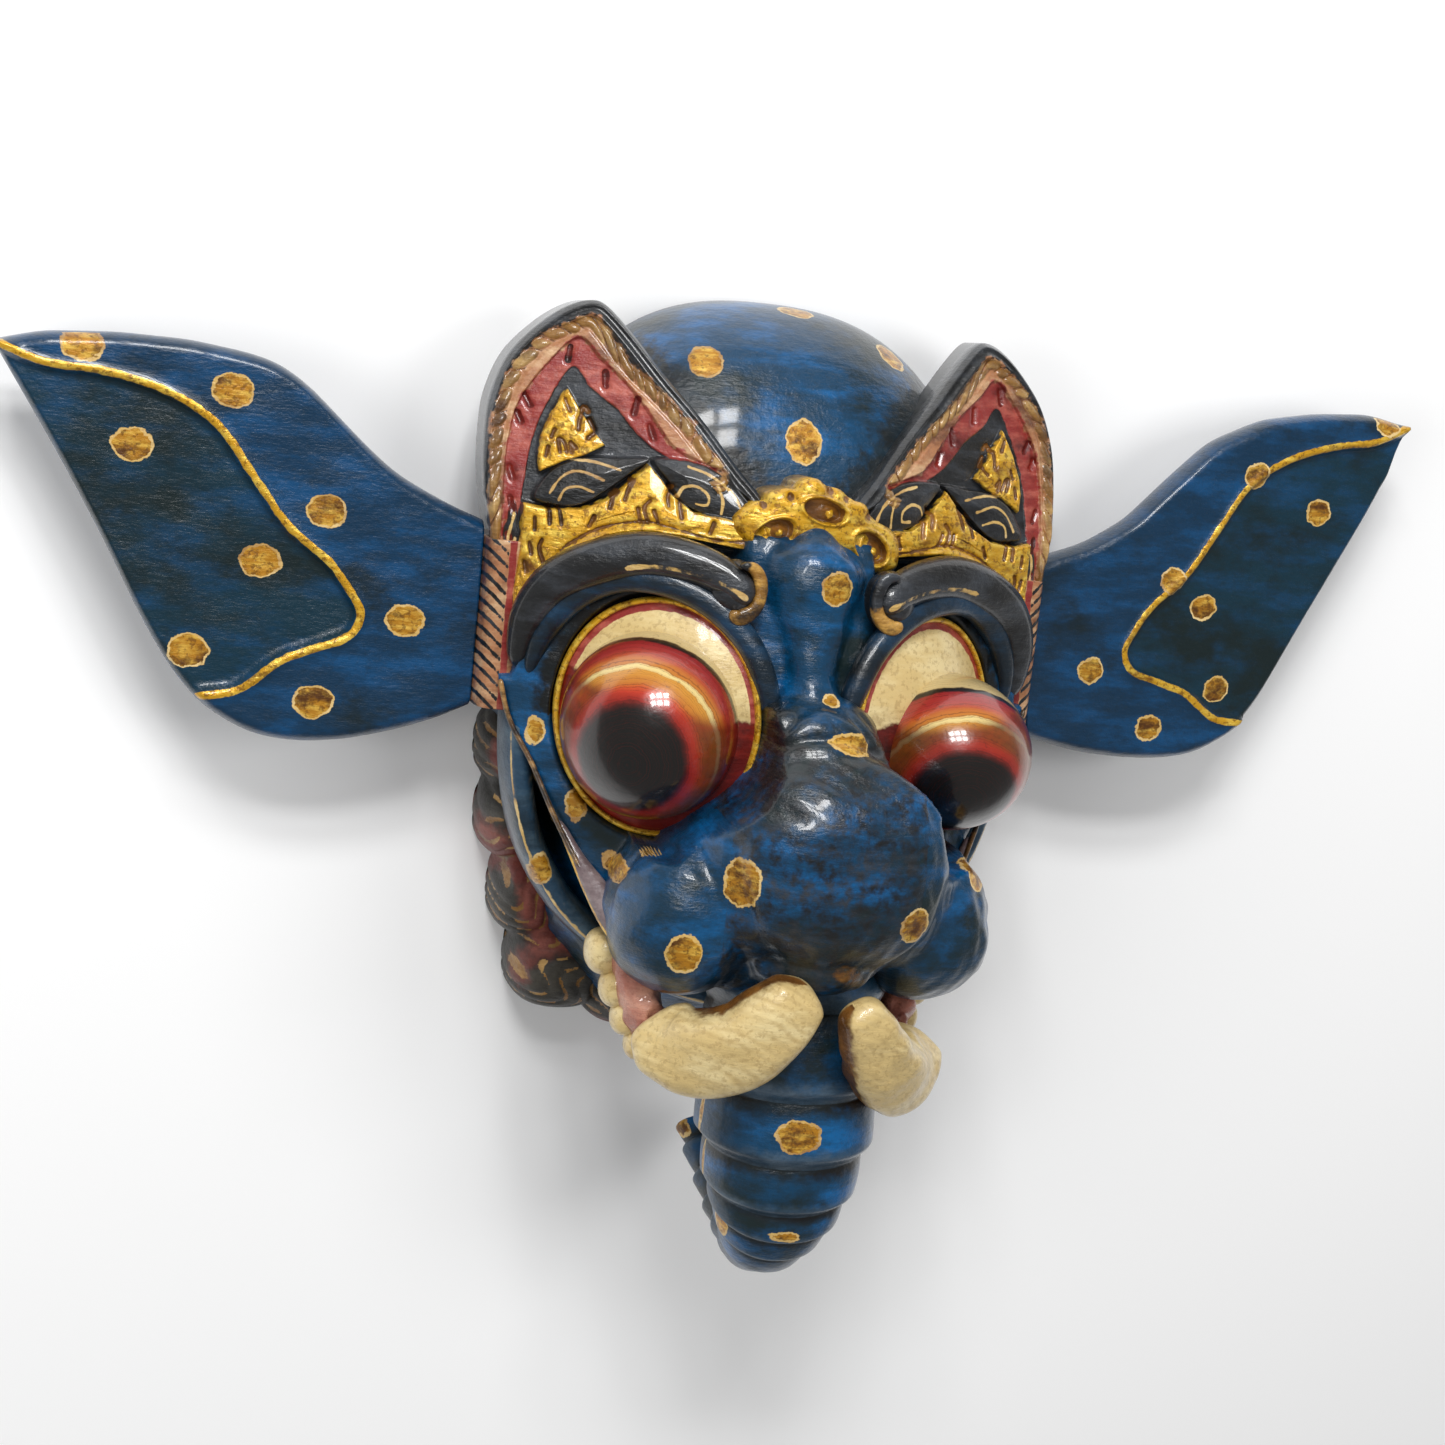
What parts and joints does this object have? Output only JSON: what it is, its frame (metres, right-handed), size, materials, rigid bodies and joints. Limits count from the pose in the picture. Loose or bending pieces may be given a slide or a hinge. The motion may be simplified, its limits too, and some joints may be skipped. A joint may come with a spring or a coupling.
{
  "type": "ganesha mask",
  "caption": "Carved and painted wooden elephant-headed mask with plug-in ears, crown plates, tusks and curled trunk; hollow back, lies flat.",
  "frame": {"origin": "middle of the outer box, on the plane of the flat back rim that the mask lies on", "axes": "+X towards the viewer's right ear, +Y up the forehead towards the crown, +Z out of the face"},
  "size_m": [0.5046, 0.3292, 0.144],
  "materials": {
    "painted_wood": "gloss lacquer over antiqued blue, gold, red and black paint",
    "ear_paint": "gloss lacquer over antiqued blue paint with gold dots"
  },
  "bodies": {
    "root": {"mask": "painted_wood", "ear_left": "ear_paint", "ear_right": "ear_paint"}
  },
  "joints": []
}
